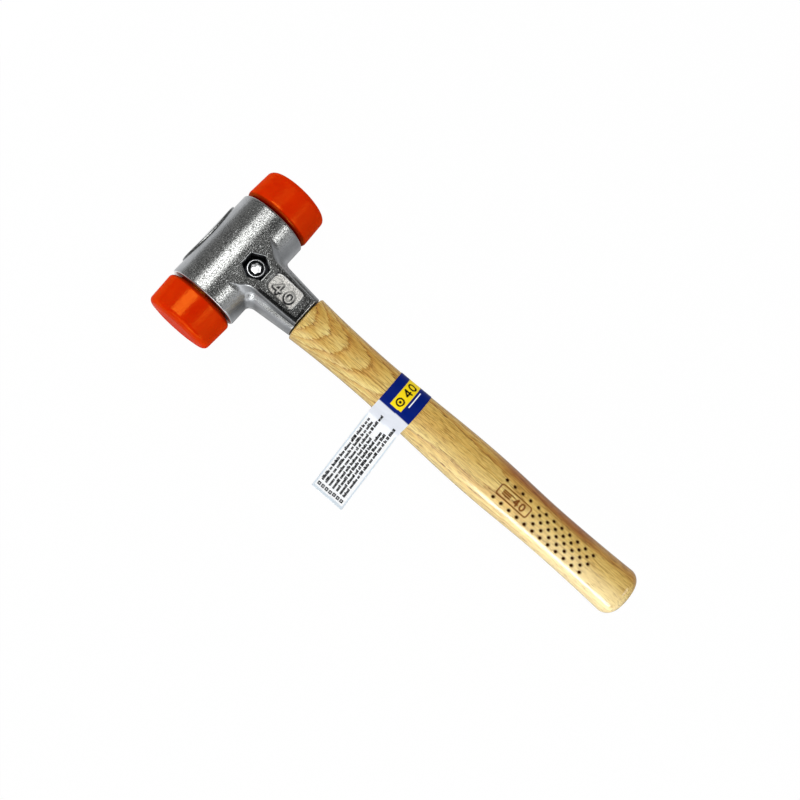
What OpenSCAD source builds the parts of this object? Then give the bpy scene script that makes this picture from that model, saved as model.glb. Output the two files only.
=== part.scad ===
// Soft face hammer: split cast clamp head, two exchangeable plastic faces, clamped hickory handle.
// Millimetres. X runs from the head axis to the butt, Y along the head axis, Z up along the clamp screw.
// The origin is where the head axis and the handle axis cross.

/* [Head] */
// Outside diameter of the barrel
barrel_d = 40.6; // [39.6:0.2:44]
// Length of the barrel between its two ends
barrel_len = 56; // [52:1:64]
// Rounding of the barrel's end rims
barrel_edge_r = 1.6; // [0.8:0.2:2.4]
// Gap between the two castings at the parting plane
seam_gap = 0.6; // [0.2:0.1:1.2]
// Length of the raised oval on the top of the head
badge_len = 40; // [30:1:46]
// Width of the raised oval round the barrel
badge_w = 19; // [12:1:22]
// Height of the raised oval over the barrel
badge_h = 1; // [0.4:0.1:1.4]

/* [Neck] */
// Distance from the head axis to the end of the neck
neck_end = 46.5; // [42:0.5:56]
// Width of the neck beside the barrel
neck_root_w = 29.6; // [27:0.2:31]
// Width of the neck at its end
neck_end_w = 24.8; // [23:0.2:26]
// Depth of the rounded neck body at its end
neck_depth = 20; // [19:0.5:22]
// Fillet between the neck's sides and the barrel
neck_fillet_r = 4; // [3:0.5:6]
// Depth of the web that carries the fillets
fillet_depth = 12; // [8:1:16]
// Width of the raised spine at the neck's end
spine_end_w = 16; // [14:0.2:17]
// Width of the raised spine below the screw pocket
spine_root_w = 18.6; // [17:0.2:19]
// Width of the spine where it runs out on the barrel
spine_flare_w = 30.4; // [26:0.2:34]
// Height of the spine's face over the parting plane at the neck's end
spine_end_z = 13.4; // [11.8:0.2:15]

/* [Size panel] */
// Length of the sunk panel for the size number
panel_len = 20; // [16:0.2:22]
// Width of the sunk panel
panel_w = 10; // [8:0.2:11]
// Depth of the sunk panel
panel_depth = 0.7; // [0.4:0.1:1.2]
// Distance from the head axis to the panel's screw end
panel_start = 20.4; // [19.8:0.2:22]

/* [Faces] */
// Diameter of the soft face at its shoulder
face_d = 40; // [36:0.5:40.5]
// Length of the soft face outside the barrel
face_len = 20.4; // [15:0.2:24]
// Diameter lost over the length by the moulding draft
face_draft = 1.2; // [0.4:0.1:2]
// Rounding of the striking rim
rim_r = 3; // [2:0.2:4]
// Rounding of the shoulder rim
shoulder_r = 2; // [1:0.2:2.6]
// Diameter of the flat in the middle of the striking face
land_d = 26; // [20:1:28]
// Fall of the crown from the flat to the rim
crown_fall = 0.5; // [0.2:0.1:1]
// Diameter of the clamped spigot
spigot_d = 30; // [26:0.5:31]
// Length of the spigot inside the barrel
spigot_len = 18; // [14:0.5:18.5]
// Radial clearance of the spigot in its bore
spigot_clear = 0.06; // [0.04:0.01:0.1]
// Gap between the barrel's end and the face's shoulder
shoulder_gap = 0.5; // [0.3:0.1:1]

/* [Clamp screw] */
// Distance of the screw axis from the head axis
screw_x = 12.2; // [11:0.2:12.6]
// Thread diameter
screw_d = 6; // [5:0.5:6]
// Length under the head
screw_len = 25; // [24.6:0.1:27]
// Diameter of the screw head
screw_head_d = 10; // [9:0.2:10.4]
// Height of the screw head
screw_head_h = 3.7; // [3.2:0.1:4]
// Outside diameter of the six lobe recess
recess_d = 5.6; // [5:0.1:6]
// Depth of the six lobe recess
recess_depth = 2.6; // [2:0.1:2.8]
// Width over the flats of the screw pocket
pocket_af = 12.8; // [12.4:0.1:13.4]
// Height of the screw pocket's floor over the parting plane
pocket_floor = 9.2; // [8.8:0.1:9.8]
// Thickness of the spring washer
washer_t = 1.6; // [1.2:0.1:2]
// Outside diameter of the spring washer
washer_d = 9.9; // [9:0.1:10.4]
// Split of the spring washer
washer_split = 1; // [0.6:0.1:1.6]
// Width over the flats of the nut
nut_af = 10; // [9:0.2:10]
// Height of the nut
nut_h = 5.2; // [4.6:0.1:5.4]
// Depth of the nut's seat under the parting plane
nut_seat = 8.5; // [8.2:0.1:8.9]

/* [Handle] */
// Distance from the head axis to the end of the butt
handle_end = 276; // [262:0.5:330]
// Gap between the neck's end and the handle's shoulder
handle_gap = 0.6; // [0.3:0.1:1]
// Width of the handle at its shoulder
shoulder_w = 27.4; // [26:0.2:29]
// Width of the handle at its waist
waist_w = 24.2; // [22:0.2:26]
// Place of the waist
waist_x = 93; // [84:1:98]
// Width of the handle at the swell of the grip
swell_w = 28.2; // [26:0.2:31]
// Place of the swell
swell_x = 174; // [155:1:184]
// Width of the handle behind the swell
grip_w = 26.2; // [24:0.2:28]
// Place of the narrowest grip
grip_x = 221; // [205:1:230]
// Width of the handle at the butt
butt_w = 28.8; // [26:0.2:31]
// Rounding of the butt's rim
butt_r = 6; // [4:0.5:8]
// Depth of the oval section as a share of its width
oval_share = 0.9; // [0.84:0.01:1]
// Width of the tenon in the neck
tenon_w = 13; // [10:0.5:13.5]
// Depth of the tenon in the neck
tenon_depth = 13; // [10:0.5:14]
// Distance of the tenon's end from the head axis
tenon_start = 2.5; // [1:0.5:4]
// Clearance of the tenon in its socket
tenon_clear = 0.1; // [0.05:0.05:0.2]

/* [Label] */
// Distance from the head axis to the label's edge
label_start = 105; // [100:1:112]
// Width of the label along the handle
label_w = 20.6; // [16:0.2:22]
// Reach of the flag from the handle axis
flag_reach = 64.4; // [40:0.2:70]
// Thickness of the label film
label_t = 0.25; // [0.2:0.05:0.4]
// Lean of the flag towards the butt in degrees
flag_lean = 3.3; // [0:0.1:6]

/* [Hidden] */
$fn = 96;
barrel_r = barrel_d / 2;
barrel_half = barrel_len / 2;
face_r = face_d / 2;
spigot_r = spigot_d / 2;
bore_r = spigot_r + spigot_clear;
bore_floor = barrel_half - spigot_len - 0.5;
screw_hole_r = screw_d / 2 + 0.3;
screw_top = pocket_floor + washer_t;
washer_hole_r = screw_d / 2 + 0.1;
nut_bore_r = screw_d / 2 + 0.05;
nut_clear = 0.1;
shoulder_x = neck_end + handle_gap;
label_clear = 0.04;
lobe_count = 6;
lobe_r = recess_d * 0.16;
lobe_reach = recess_d / 2 - lobe_r;
recess_core_r = recess_d * 0.36;
panel_big_r = 3.8;
panel_small_r = 1.6;
arc_steps = 8;
spine_steps = 20;
handle_steps = 30;
label_steps = 4;
oval_sides = 40;
oval_power = 2.2;
shoulder_round = 1.2;
flare_x = 8;
flare_end = 21;
spine_reach = sqrt(pow(neck_end, 2) + pow(spine_end_z, 2));
spine_slope = 90 - atan2(spine_end_z, neck_end) - acos(barrel_r / spine_reach);
spine_start = barrel_r * sin(spine_slope) + 0.4;
far = 40;

// Points on an arc round centre c, from angle a to angle b in degrees.
function arc(c, r, a, b, n = arc_steps) =
  [for (i = [0:n]) c + r * [cos(a + (b - a) * i / n), sin(a + (b - a) * i / n)]];

// Height of the spine's face over the parting plane at distance x: a plane that touches the barrel.
function spine_z(x) = spine_end_z + (neck_end - x) * tan(spine_slope);

// Half width of the spine: a flare on the barrel, then a straight taper to the neck's end.
function spine_half(x) =
  x < flare_end
    ? spine_root_w / 2 + (spine_flare_w - spine_root_w) / 2 * pow((flare_end - x) / (flare_end - flare_x), 2)
    : spine_root_w / 2 + (spine_end_w - spine_root_w) / 2 * (x - flare_end) / (neck_end - flare_end);

// Ease from 0 to 1 with a flat start and a flat end.
function ease(t) = (1 - cos(180 * t)) / 2;

// Half width of the handle at distance x from the head axis.
function handle_half(x) =
  x < waist_x
    ? (waist_w + (shoulder_w - waist_w) * pow((waist_x - x) / (waist_x - shoulder_x), 2)) / 2
    : x < swell_x
      ? (waist_w + (swell_w - waist_w) * ease((x - waist_x) / (swell_x - waist_x))) / 2
      : x < grip_x
        ? (swell_w + (grip_w - swell_w) * ease((x - swell_x) / (grip_x - swell_x))) / 2
        : (grip_w + (butt_w - grip_w) * pow((x - grip_x) / (handle_end - grip_x), 2)) / 2;

// Turns a profile of [along Y, radius] points about the Y axis.
module about_y(points) {
  rotate([-90, 0, 0])
    rotate_extrude()
      polygon([for (p = points) [p[1], p[0]]]);
}

// Extrudes an outline drawn in X and Z across the whole head along Y.
module across(points, width) {
  translate([0, width / 2, 0])
    rotate([90, 0, 0])
      linear_extrude(height = width)
        polygon(points);
}

module barrel() {
  about_y(concat(
    [[-barrel_half, 0]],
    arc([-barrel_half + barrel_edge_r, barrel_r - barrel_edge_r], barrel_edge_r, 180, 90),
    arc([barrel_half - barrel_edge_r, barrel_r - barrel_edge_r], barrel_edge_r, 90, 0),
    [[barrel_half, 0]]
  ));
}

// The raised oval on the top of the head follows the barrel's curve.
module badge() {
  intersection() {
    rotate([90, 0, 0])
      cylinder(h = barrel_len - 4, r = barrel_r + badge_h, center = true);
    rotate([0, -90, 0])
      linear_extrude(height = far)
        polygon([for (a = [0:7.5:352.5]) [badge_w / 2 * cos(a), badge_len / 2 * sin(a)]]);
  }
}

// Rounded tube of the neck, a straight taper in plan.
module neck_tube() {
  tube_start = 10;
  end_half = neck_end_w / 2;
  root_half = neck_root_w / 2;
  start_half = end_half + (root_half - end_half) * (neck_end - tube_start) / (neck_end - barrel_r);
  round_over = 0.7;
  intersection() {
    linear_extrude(height = neck_depth, center = true)
      polygon([[tube_start, -start_half], [neck_end, -end_half], [neck_end, end_half], [tube_start, start_half]]);
    translate([tube_start, 0, 0])
      rotate([0, 90, 0])
        cylinder(h = neck_end - tube_start, r1 = start_half + round_over, r2 = end_half + round_over);
  }
}

// Thin web that fills the corners between the neck's sides and the barrel.
module neck_web() {
  tangent_x = barrel_r - 0.2;
  web_start = 10;
  root_half = neck_root_w / 2 - 0.3;
  centre = [tangent_x + neck_fillet_r, root_half + neck_fillet_r];
  side = concat([[web_start, centre[1]]], arc(centre, neck_fillet_r, 180, 270));
  linear_extrude(height = fillet_depth, center = true)
    polygon(concat(side, [for (i = [len(side) - 1:-1:0]) [side[i][0], -side[i][1]]]));
}

// Raised spine on both faces of the neck, flared onto the barrel.
module spine() {
  stations = [for (i = [0:spine_steps]) spine_start + (neck_end - spine_start) * i / spine_steps];
  intersection() {
    linear_extrude(height = 2 * far, center = true)
      polygon(concat(
        [for (x = stations) [x, -spine_half(x)]],
        [for (i = [spine_steps:-1:0]) [stations[i], spine_half(stations[i])]]
      ));
    across([
      [spine_start, spine_z(spine_start)],
      [neck_end, spine_end_z],
      [neck_end, -spine_end_z],
      [spine_start, -spine_z(spine_start)]
    ], 2 * far);
  }
}

// Sunk panel for the size number, round at the screw end.
module panel_cut() {
  half = panel_w / 2;
  panel_end = panel_start + panel_len;
  intersection() {
    linear_extrude(height = far)
      polygon(concat(
        arc([panel_start + panel_big_r, -half + panel_big_r], panel_big_r, 180, 270),
        arc([panel_end - panel_small_r, -half + panel_small_r], panel_small_r, 270, 360),
        arc([panel_end - panel_small_r, half - panel_small_r], panel_small_r, 0, 90),
        arc([panel_start + panel_big_r, half - panel_big_r], panel_big_r, 90, 180)
      ));
    across([
      [spine_start, spine_z(spine_start) - panel_depth],
      [neck_end, spine_end_z - panel_depth],
      [neck_end, far],
      [spine_start, far]
    ], 2 * far);
  }
}

// Hexagon with two corners on the head's length, d over the flats.
module hexagon_hole(d, from_z, to_z) {
  translate([screw_x, 0, from_z])
    rotate([0, 0, 30])
      cylinder(h = to_z - from_z, r = d / 2 / cos(30), $fn = 6);
}

// Both castings before the parting cut.
module casting() {
  difference() {
    union() {
      barrel();
      badge();
      neck_tube();
      neck_web();
      spine();
    }
    for (side = [-1, 1])
      translate([0, side * (bore_floor + far / 2), 0])
        rotate([90, 0, 0])
          cylinder(h = far, r = bore_r, center = true);
    translate([tenon_start - 0.5, 0, 0])
      tenon_block(neck_end - tenon_start + 1, tenon_clear);
    translate([screw_x, 0, 0])
      cylinder(h = 2 * far, r = screw_hole_r, center = true);
  }
}

// Block of the tenon's section, length l, grown by g on each side.
module tenon_block(l, g) {
  translate([0, -tenon_w / 2 - g, -tenon_depth / 2 - g])
    cube([l, tenon_w + 2 * g, tenon_depth + 2 * g]);
}

// Half space above the parting gap.
module upper_half() {
  translate([-far, -far, seam_gap / 2])
    cube([3 * far, 2 * far, far]);
}

module front_housing() {
  color("silver")
    difference() {
      intersection() {
        casting();
        upper_half();
      }
      hexagon_hole(pocket_af, pocket_floor, far);
      panel_cut();
    }
}

module rear_housing() {
  color("silver")
    difference() {
      intersection() {
        casting();
        mirror([0, 0, 1])
          upper_half();
      }
      hexagon_hole(nut_af + 2 * nut_clear, -far, -nut_seat);
    }
}

// Cheese head screw with a six lobe recess.
module clamp_screw() {
  color("gainsboro")
    translate([screw_x, 0, 0])
      difference() {
        union() {
          translate([0, 0, screw_top - screw_len])
            cylinder(h = screw_len + 0.5, d = screw_d);
          translate([0, 0, screw_top])
            rotate_extrude()
              polygon(concat(
                [[0, 0], [screw_head_d / 2, 0]],
                arc([screw_head_d / 2 - 0.6, screw_head_h - 0.6], 0.6, 0, 90, 4),
                [[0, screw_head_h]]
              ));
        }
        translate([0, 0, screw_top + screw_head_h - recess_depth]) {
          cylinder(h = far, r = recess_core_r);
          for (i = [0:lobe_count - 1])
            rotate([0, 0, i * 360 / lobe_count])
              translate([lobe_reach, 0, 0])
                cylinder(h = far, r = lobe_r, $fn = 32);
        }
      }
}

// Split ring under the screw head.
module spring_washer() {
  color("dimgray")
    translate([screw_x, 0, pocket_floor])
      difference() {
        cylinder(h = washer_t, d = washer_d);
        translate([0, 0, -1])
          cylinder(h = washer_t + 2, r = washer_hole_r);
        translate([0, -washer_split / 2, -1])
          cube([washer_d, washer_split, washer_t + 2]);
      }
}

// Nut held against turning by the rear pocket.
module clamp_nut() {
  color("gainsboro")
    difference() {
      hexagon_hole(nut_af, -nut_seat - nut_h, -nut_seat);
      translate([screw_x, 0, -far])
        cylinder(h = 2 * far, r = nut_bore_r);
    }
}

// Profile of one face along +Y: spigot, shoulder, drafted side, rim, crown, flat.
module soft_face() {
  root = barrel_half + shoulder_gap;
  tip = barrel_half + face_len;
  tip_r = face_r - face_draft / 2;
  rim_y = tip - crown_fall - rim_r;
  crown_r = tip_r - rim_r;
  about_y(concat(
    [[barrel_half - spigot_len, 0], [barrel_half - spigot_len, spigot_r - 1], [barrel_half - spigot_len + 1, spigot_r]],
    [[root, spigot_r]],
    arc([root + shoulder_r, face_r - shoulder_r], shoulder_r, 180, 90),
    arc([rim_y, tip_r - rim_r], rim_r, 90, 8),
    [[tip - crown_fall * 0.4, (crown_r + land_d / 2) / 2]],
    [[tip, land_d / 2], [tip, 0]]
  ));
}

module right_face() {
  color("orangered")
    soft_face();
}

module left_face() {
  color("orangered")
    mirror([0, 1, 0])
      soft_face();
}

// Rings of the handle as [along X, change of half width]: shoulder, length, rounded butt, crown.
function handle_rings() =
  let (
    length_end = handle_end - butt_r,
    length_start = shoulder_x + shoulder_round,
    crown = 0.8
  )
  concat(
    [[shoulder_x, -shoulder_round], [shoulder_x + shoulder_round * 0.3, -shoulder_round * 0.3]],
    [for (i = [0:handle_steps]) [length_start + (length_end - length_start) * i / handle_steps, 0]],
    [for (i = [1:arc_steps]) let (a = 84 * i / arc_steps) [length_end + butt_r * sin(a), butt_r * (cos(a) - 1)]],
    [[handle_end + crown * 0.7, -butt_r - butt_w / 8], [handle_end + crown, -butt_r - butt_w / 5]]
  );

// Oval section with half width h at distance x.
function oval(x, h) =
  [for (i = [0:oval_sides - 1])
    let (a = 360 * i / oval_sides, c = cos(a), s = sin(a), p = 2 / oval_power)
      [x, h * sign(c) * pow(abs(c), p), h * oval_share * sign(s) * pow(abs(s), p)]];

// Triangles between ring k and the next, the other way round if turned is true.
function band_faces(k, next, turned) =
  [for (i = [0:oval_sides - 1])
    let (j = (i + 1) % oval_sides, a = k * oval_sides, b = next * oval_sides)
      each turned ? [[a + i, b + j, b + i], [a + i, a + j, b + j]] : [[a + i, b + i, b + j], [a + i, b + j, a + j]]];

// Oval body of the handle between two flat caps.
module handle_body() {
  rings = handle_rings();
  last = len(rings) - 1;
  polyhedron(
    points = [for (r = rings) each oval(r[0], handle_half(min(r[0], handle_end - butt_r)) + r[1])],
    faces = concat(
      [[for (i = [0:oval_sides - 1]) i]],
      [for (k = [0:last - 1]) each band_faces(k, k + 1, false)],
      [[for (i = [oval_sides - 1:-1:0]) last * oval_sides + i]]
    )
  );
}

module handle() {
  color("burlywood")
    difference() {
      union() {
        handle_body();
        translate([tenon_start, 0, 0])
          tenon_block(shoulder_x - tenon_start + 2, 0);
      }
      translate([screw_x, 0, 0])
        cylinder(h = 2 * far, r = screw_hole_r, center = true);
    }
}

// Film wrapped once round the handle, as a thin tube.
module label_wrap() {
  stations = [for (i = [0:label_steps]) label_start + label_w * i / label_steps];
  inner = [for (x = stations) each oval(x, handle_half(x) + label_clear)];
  outer = [for (x = stations) each oval(x, handle_half(x) + label_clear + label_t)];
  rings = label_steps + 1;
  polyhedron(
    points = concat(outer, inner),
    faces = concat(
      [for (k = [0:label_steps - 1]) each band_faces(k, k + 1, false)],
      [for (k = [0:label_steps - 1]) each band_faces(rings + k, rings + k + 1, true)],
      band_faces(0, rings, true),
      band_faces(label_steps, rings + label_steps, false)
    )
  );
}

// Both ends of the film stuck together, standing off the handle's side.
module label_flag() {
  stations = [for (i = [0:label_steps]) label_start + label_w * i / label_steps];
  drift = (flag_reach - waist_w / 2) * tan(flag_lean);
  linear_extrude(height = 2 * label_t, center = true)
    polygon(concat(
      [for (x = stations) [x, -handle_half(x) - label_clear - label_t / 2]],
      [[label_start + label_w + drift, -flag_reach], [label_start + drift, -flag_reach]]
    ));
}

module label() {
  color("navy") {
    label_wrap();
    label_flag();
  }
}

front_housing();
rear_housing();
clamp_screw();
spring_washer();
clamp_nut();
left_face();
right_face();
handle();
label();
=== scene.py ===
import bpy
import numpy as np
from functools import partial
from mathutils import Matrix, Vector
from types import SimpleNamespace as Named


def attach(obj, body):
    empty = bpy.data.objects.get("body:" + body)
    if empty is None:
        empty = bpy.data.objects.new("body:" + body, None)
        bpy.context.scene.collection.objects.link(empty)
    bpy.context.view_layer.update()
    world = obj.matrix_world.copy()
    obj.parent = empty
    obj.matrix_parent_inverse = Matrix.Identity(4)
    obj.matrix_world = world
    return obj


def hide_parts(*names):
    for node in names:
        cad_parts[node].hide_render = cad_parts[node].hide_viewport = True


# Soft face hammer: the shapes are worked out in millimetres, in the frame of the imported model.
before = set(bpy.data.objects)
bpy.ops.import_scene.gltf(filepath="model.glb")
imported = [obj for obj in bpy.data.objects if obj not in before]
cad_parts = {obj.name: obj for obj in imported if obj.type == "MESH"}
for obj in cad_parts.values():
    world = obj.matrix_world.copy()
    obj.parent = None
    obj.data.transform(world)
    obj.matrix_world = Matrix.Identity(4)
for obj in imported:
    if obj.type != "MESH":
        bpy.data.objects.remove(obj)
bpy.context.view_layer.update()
scene = bpy.context.scene
mm = 0.001
print("frame loaded:", ", ".join(sorted(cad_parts)))


def linearOf(hexText):  # sRGB hex to linear RGBA
    c = np.array([int(hexText[i:i + 2], 16) for i in (1, 3, 5)]) / 255
    lin = np.where(c <= 0.04045, c / 12.92, ((c + 0.055) / 1.055) ** 2.4)
    return (*lin.tolist(), 1)


def setInputs(node, ins):  # a socket as value is linked, hex text is a colour
    for key, value in ins.items():
        if isinstance(value, bpy.types.NodeSocket):
            node.id_data.links.new(value, node.inputs[key])
        else:
            node.inputs[key].default_value = linearOf(value) if isinstance(value, str) else value


def addNode(tree, kind, ins=(), out=0, stops=(), **props):
    # one node with its settings and links, given back as one of its outputs; inputs by name or number, or
    # as a list in their order, stops of a ramp as (place, hex colour or grey value)
    node = tree.nodes.new("ShaderNode" + kind)
    for key, value in props.items():
        setattr(node, key, value)
    setInputs(node, ins if isinstance(ins, dict) else dict(enumerate(ins)))
    if stops:
        spots = node.color_ramp.elements
        while len(spots) < len(stops):
            spots.new(0.5)
        for spot, (place, value) in zip(spots, stops):
            spot.position = place
            spot.color = linearOf(value) if isinstance(value, str) else (value, value, value, 1)
    return node.outputs[out]


def newMaterial(name, settings, painted=""):
    # a principled shader with its fixed values, what adds its nodes, the place on the object and the values
    # painted on its points
    mat = bpy.data.materials.new(name)
    mat.use_nodes = True
    shader = next(n for n in mat.node_tree.nodes if n.type == "BSDF_PRINCIPLED")
    setInputs(shader, settings)
    add = partial(addNode, mat.node_tree)
    layers = [add("Attribute", out="Fac", attribute_name=layer) for layer in painted.split()]
    return mat, shader, add, add("TexCoord", out="Object"), *layers


def gridQuads(rows, cols, closed):  # quads of a rows x cols grid of points, closed along the columns or not
    i = np.arange(rows - 1)[:, None]
    j = np.arange(cols if closed else cols - 1)[None, :]
    k = (j + 1) % cols
    return np.stack([i * cols + j, i * cols + k, (i + 1) * cols + k, (i + 1) * cols + j], -1).reshape(-1, 4)


def meshPiece(name, points, quads, mat, body, nodes, tris=np.zeros((0, 3), int)):
    # points in mm, quads and triangles made to a finished piece
    mesh = bpy.data.meshes.new(name)
    loops = np.concatenate([quads.ravel(), tris.ravel()]).astype(np.int32)
    starts = np.concatenate([np.arange(len(quads)) * 4, len(quads) * 4 + np.arange(len(tris)) * 3])
    mesh.vertices.add(len(points))
    mesh.vertices.foreach_set("co", (points * mm).astype(np.float32).ravel())
    mesh.loops.add(len(loops))
    mesh.loops.foreach_set("vertex_index", loops)
    mesh.polygons.add(len(starts))
    mesh.polygons.foreach_set("loop_start", starts.astype(np.int32))
    mesh.update(calc_edges=True)
    mesh.validate()
    mesh.polygons.foreach_set("use_smooth", np.ones(len(starts), bool))
    mesh.materials.append(mat)
    piece = bpy.data.objects.new(name, mesh)
    scene.collection.objects.link(piece)
    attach(piece, body)
    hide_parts(*nodes)
    print("piece", name, len(points), "points")
    return piece


def ringsPiece(name, rings, mat, body, nodes, outward=True):
    # rings (n x m x 3) carried from a pole to a pole: first and last ring shrink to their mean point
    rows, cols = rings.shape[:2]
    points = np.concatenate([rings.reshape(-1, 3), rings[[0, -1]].mean(1)])
    quads = gridQuads(rows, cols, True)
    j = np.arange(cols)
    k = (j + 1) % cols
    base = rows * cols
    first = np.stack([np.full(cols, base), k, j], -1)
    last = np.stack([np.full(cols, base + 1), base - cols + j, base - cols + k], -1)
    tris = np.concatenate([first, last])
    if not outward:
        quads, tris = quads[:, ::-1], tris[:, ::-1]
    return meshPiece(name, points, quads, mat, body, nodes, tris)


def paint(piece, name, values):  # a value or a colour for each point
    flat = np.asarray(values, np.float32)
    kind, field = ("FLOAT", "value") if flat.ndim == 1 else ("FLOAT_COLOR", "color")
    layer = piece.data.attributes.new(name, kind, "POINT")
    layer.data.foreach_set(field, flat.ravel())


def paintRings(piece, name, values, poles=(0, 0)):  # a value for each point of the rings and for both poles
    paint(piece, name, np.concatenate([values.ravel(), poles]))


def ease(t):  # 0 to 1, flat at both ends
    t = np.clip(t, 0, 1)
    return t * t * (3 - 2 * t)


def rising(value, span):  # 0 up to span[0], then to 1 over the length span[1]
    return ease((value - span[0]) / span[1])


def falling(value, span):  # 0 from span[0] on, and 1 up to the length span[1] before it
    return ease((span[0] - value) / span[1])


def hill(value, span):  # bell curve round span[0], span[1] wide
    return np.exp(-((value - span[0]) / span[1]) ** 2)


def arcPoints(centre, r, start, end, n):  # points on a circle, angles in degrees
    a = np.radians(np.linspace(start, end, n))
    return np.stack([centre[0] + r * np.cos(a), centre[1] + r * np.sin(a)], -1)


def roundBox(u, v, halfU, halfV, r):  # distance to a rectangle round (0, 0) with corners of radius r
    qu, qv = np.abs(u) - halfU + r, np.abs(v) - halfV + r
    return np.minimum(np.maximum(qu, qv), 0) + np.hypot(np.maximum(qu, 0), np.maximum(qv, 0)) - r


def roundBoth(a, b, r):  # what lies inside both fields, the edge rounded to radius r
    return np.minimum(-r, np.maximum(a, b)) + np.hypot(np.maximum(r + a, 0), np.maximum(r + b, 0))


def roundJoin(a, b, r):  # what lies inside either field, the corner filled to radius r
    return np.maximum(r, np.minimum(a, b)) - np.hypot(np.maximum(r - a, 0), np.maximum(r - b, 0))


def skinOf(field, low, high, step):
    # surface where field(x, y, z) = 0: one point in each cell that it crosses, at the mean of the crossings
    # on the cell's edges, then slid onto the surface along the field's slope
    axes = [np.arange(low[i], high[i] + step, step) for i in range(3)]
    f = field(*np.meshgrid(*axes, indexing="ij"))
    size = np.array(f.shape) - 1
    unit, corners = np.eye(3, dtype=int), np.array(list(np.ndindex(2, 2, 2)))
    parts = [f[tuple(slice(k, k + n) for k, n in zip(corner, size))] for corner in corners]
    inside = sum((part < 0).astype(np.int8) for part in parts)
    cell = np.argwhere((inside > 0) & (inside < 8))
    number = np.full(size, -1)
    number[tuple(cell.T)] = np.arange(len(cell))
    total, count = np.zeros((len(cell), 3)), np.zeros(len(cell))
    for corner in corners:
        for axis in np.flatnonzero(corner == 0):
            fa, fb = f[tuple((cell + corner).T)], f[tuple((cell + corner + unit[axis]).T)]
            cross = (fa < 0) != (fb < 0)
            t = np.where(cross, fa / np.where(cross, fa - fb, 1), 0)
            total += (corner + unit[axis] * t[:, None]) * cross[:, None]
            count += cross
    points = np.array(low) + (cell + total / count[:, None]) * step
    quads = []
    for axis in range(3):
        u, v = (axis + 1) % 3, (axis + 2) % 3
        spot = np.argwhere(np.diff(f < 0, axis=axis))
        inner = (spot[:, [u, v]] > 0) & (spot[:, [u, v]] < size[[u, v]])
        spot = spot[inner.all(1)]
        ring = np.stack([number[tuple((spot + du * unit[u] + dv * unit[v]).T)]
                         for du, dv in ((-1, -1), (0, -1), (0, 0), (-1, 0))], -1)
        out = f[tuple(spot.T)] < 0
        quads.append(np.where(out[:, None], ring, ring[:, ::-1]))
    passes, tiny, leastSteep, stride = 3, 0.02, 0.25, 0.5 * step
    for k in range(passes):
        slope = np.stack([(field(*(points + tiny * d).T) - field(*(points - tiny * d).T)) / (2 * tiny)
                          for d in np.eye(3)], -1)
        steep = np.maximum((slope ** 2).sum(1), leastSteep)
        move = -(field(*points.T) / steep)[:, None] * slope
        length = np.linalg.norm(move, axis=1, keepdims=True)
        points = points + move * np.minimum(1, stride / np.maximum(length, 1e-9))
    return points, np.concatenate(quads)


def castZinc():
    # cast iron, shot blasted and bright zinc plated: fine glittering grain over a satin grey metal,
    # grainy on the faces that look up or down, smoother on the flanks; painted shade in the recesses and
    # along edges, a pale matt panel floor with a painted highlight on its lit walls, machined ends and a
    # painted reflection on the badge
    mat, shader, add, coord, matt, turned, paintedShade = newMaterial(
        "cast_iron_blasted_zinc", {}, "matt turned recess")
    grain, pitSize = 0.55 * mm, 0.62 * mm  # blast marks, drawn a little coarse so that they show
    blotch, relief = 6 * mm, 0.05 * mm
    fine = add("TexNoise", {"Vector": coord, "Scale": 1 / grain, "Detail": 2, "Roughness": 0.6})
    wide = add("TexNoise", {"Vector": coord, "Scale": 1 / blotch, "Detail": 4})
    tone = add("ValToRGB", [wide], stops=[(0.3, "#a3a6aa"), (0.7, "#b3b6ba")])
    marks = add("ValToRGB", [fine], stops=[(0.36, "#716f69"), (0.5, "#dbd9d2"), (0.62, "#fffcf4")])
    facing = add("SeparateXYZ", [add("NewGeometry", out="Normal")], "Z")
    upward = add("Math", [facing], operation="ABSOLUTE")
    grainy = add("MapRange", [upward, 0.55, 0.9, 0.25, 1], interpolation_type="SMOOTHSTEP")
    pale = add("Mix", {0: matt, 6: tone, 7: "#f8f8f8"}, 2, data_type="RGBA")
    strong = add("Math", [matt, -0.15, grainy], operation="MULTIPLY_ADD")
    shown = add("Mix", {0: strong, 6: pale, 7: marks}, 2, data_type="RGBA", blend_type="MULTIPLY")
    for share, tint in ((turned, "#e4e5e6"), (paintedShade, "#151618")):  # machined ends and the badge's painted reflection, then painted shade
        shown = add("Mix", {0: share, 6: shown, 7: tint}, 2, data_type="RGBA")
    sheen = add("MapRange", [grainy, 0.25, 1, 0.3, 0.2])
    rough = add("Math", [matt, 0.24, sheen], operation="MULTIPLY_ADD")
    metal = add("Math", [matt, -0.75, 1], operation="MULTIPLY_ADD")
    spark = add("TexNoise", {"Vector": coord, "Scale": 1 / pitSize, "Detail": 0})
    pits = add("MapRange", [spark, 0.6, 0.7, 0, -0.8])
    surface = add("Math", [fine, pits], operation="ADD")
    height = add("Math", [surface, grainy], operation="MULTIPLY")
    bump = add("Bump", {"Height": height, "Strength": 1, "Distance": relief})
    setInputs(shader, {"Base Color": shown, "Metallic": metal, "Roughness": rough, "Normal": bump})
    return mat


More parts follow.
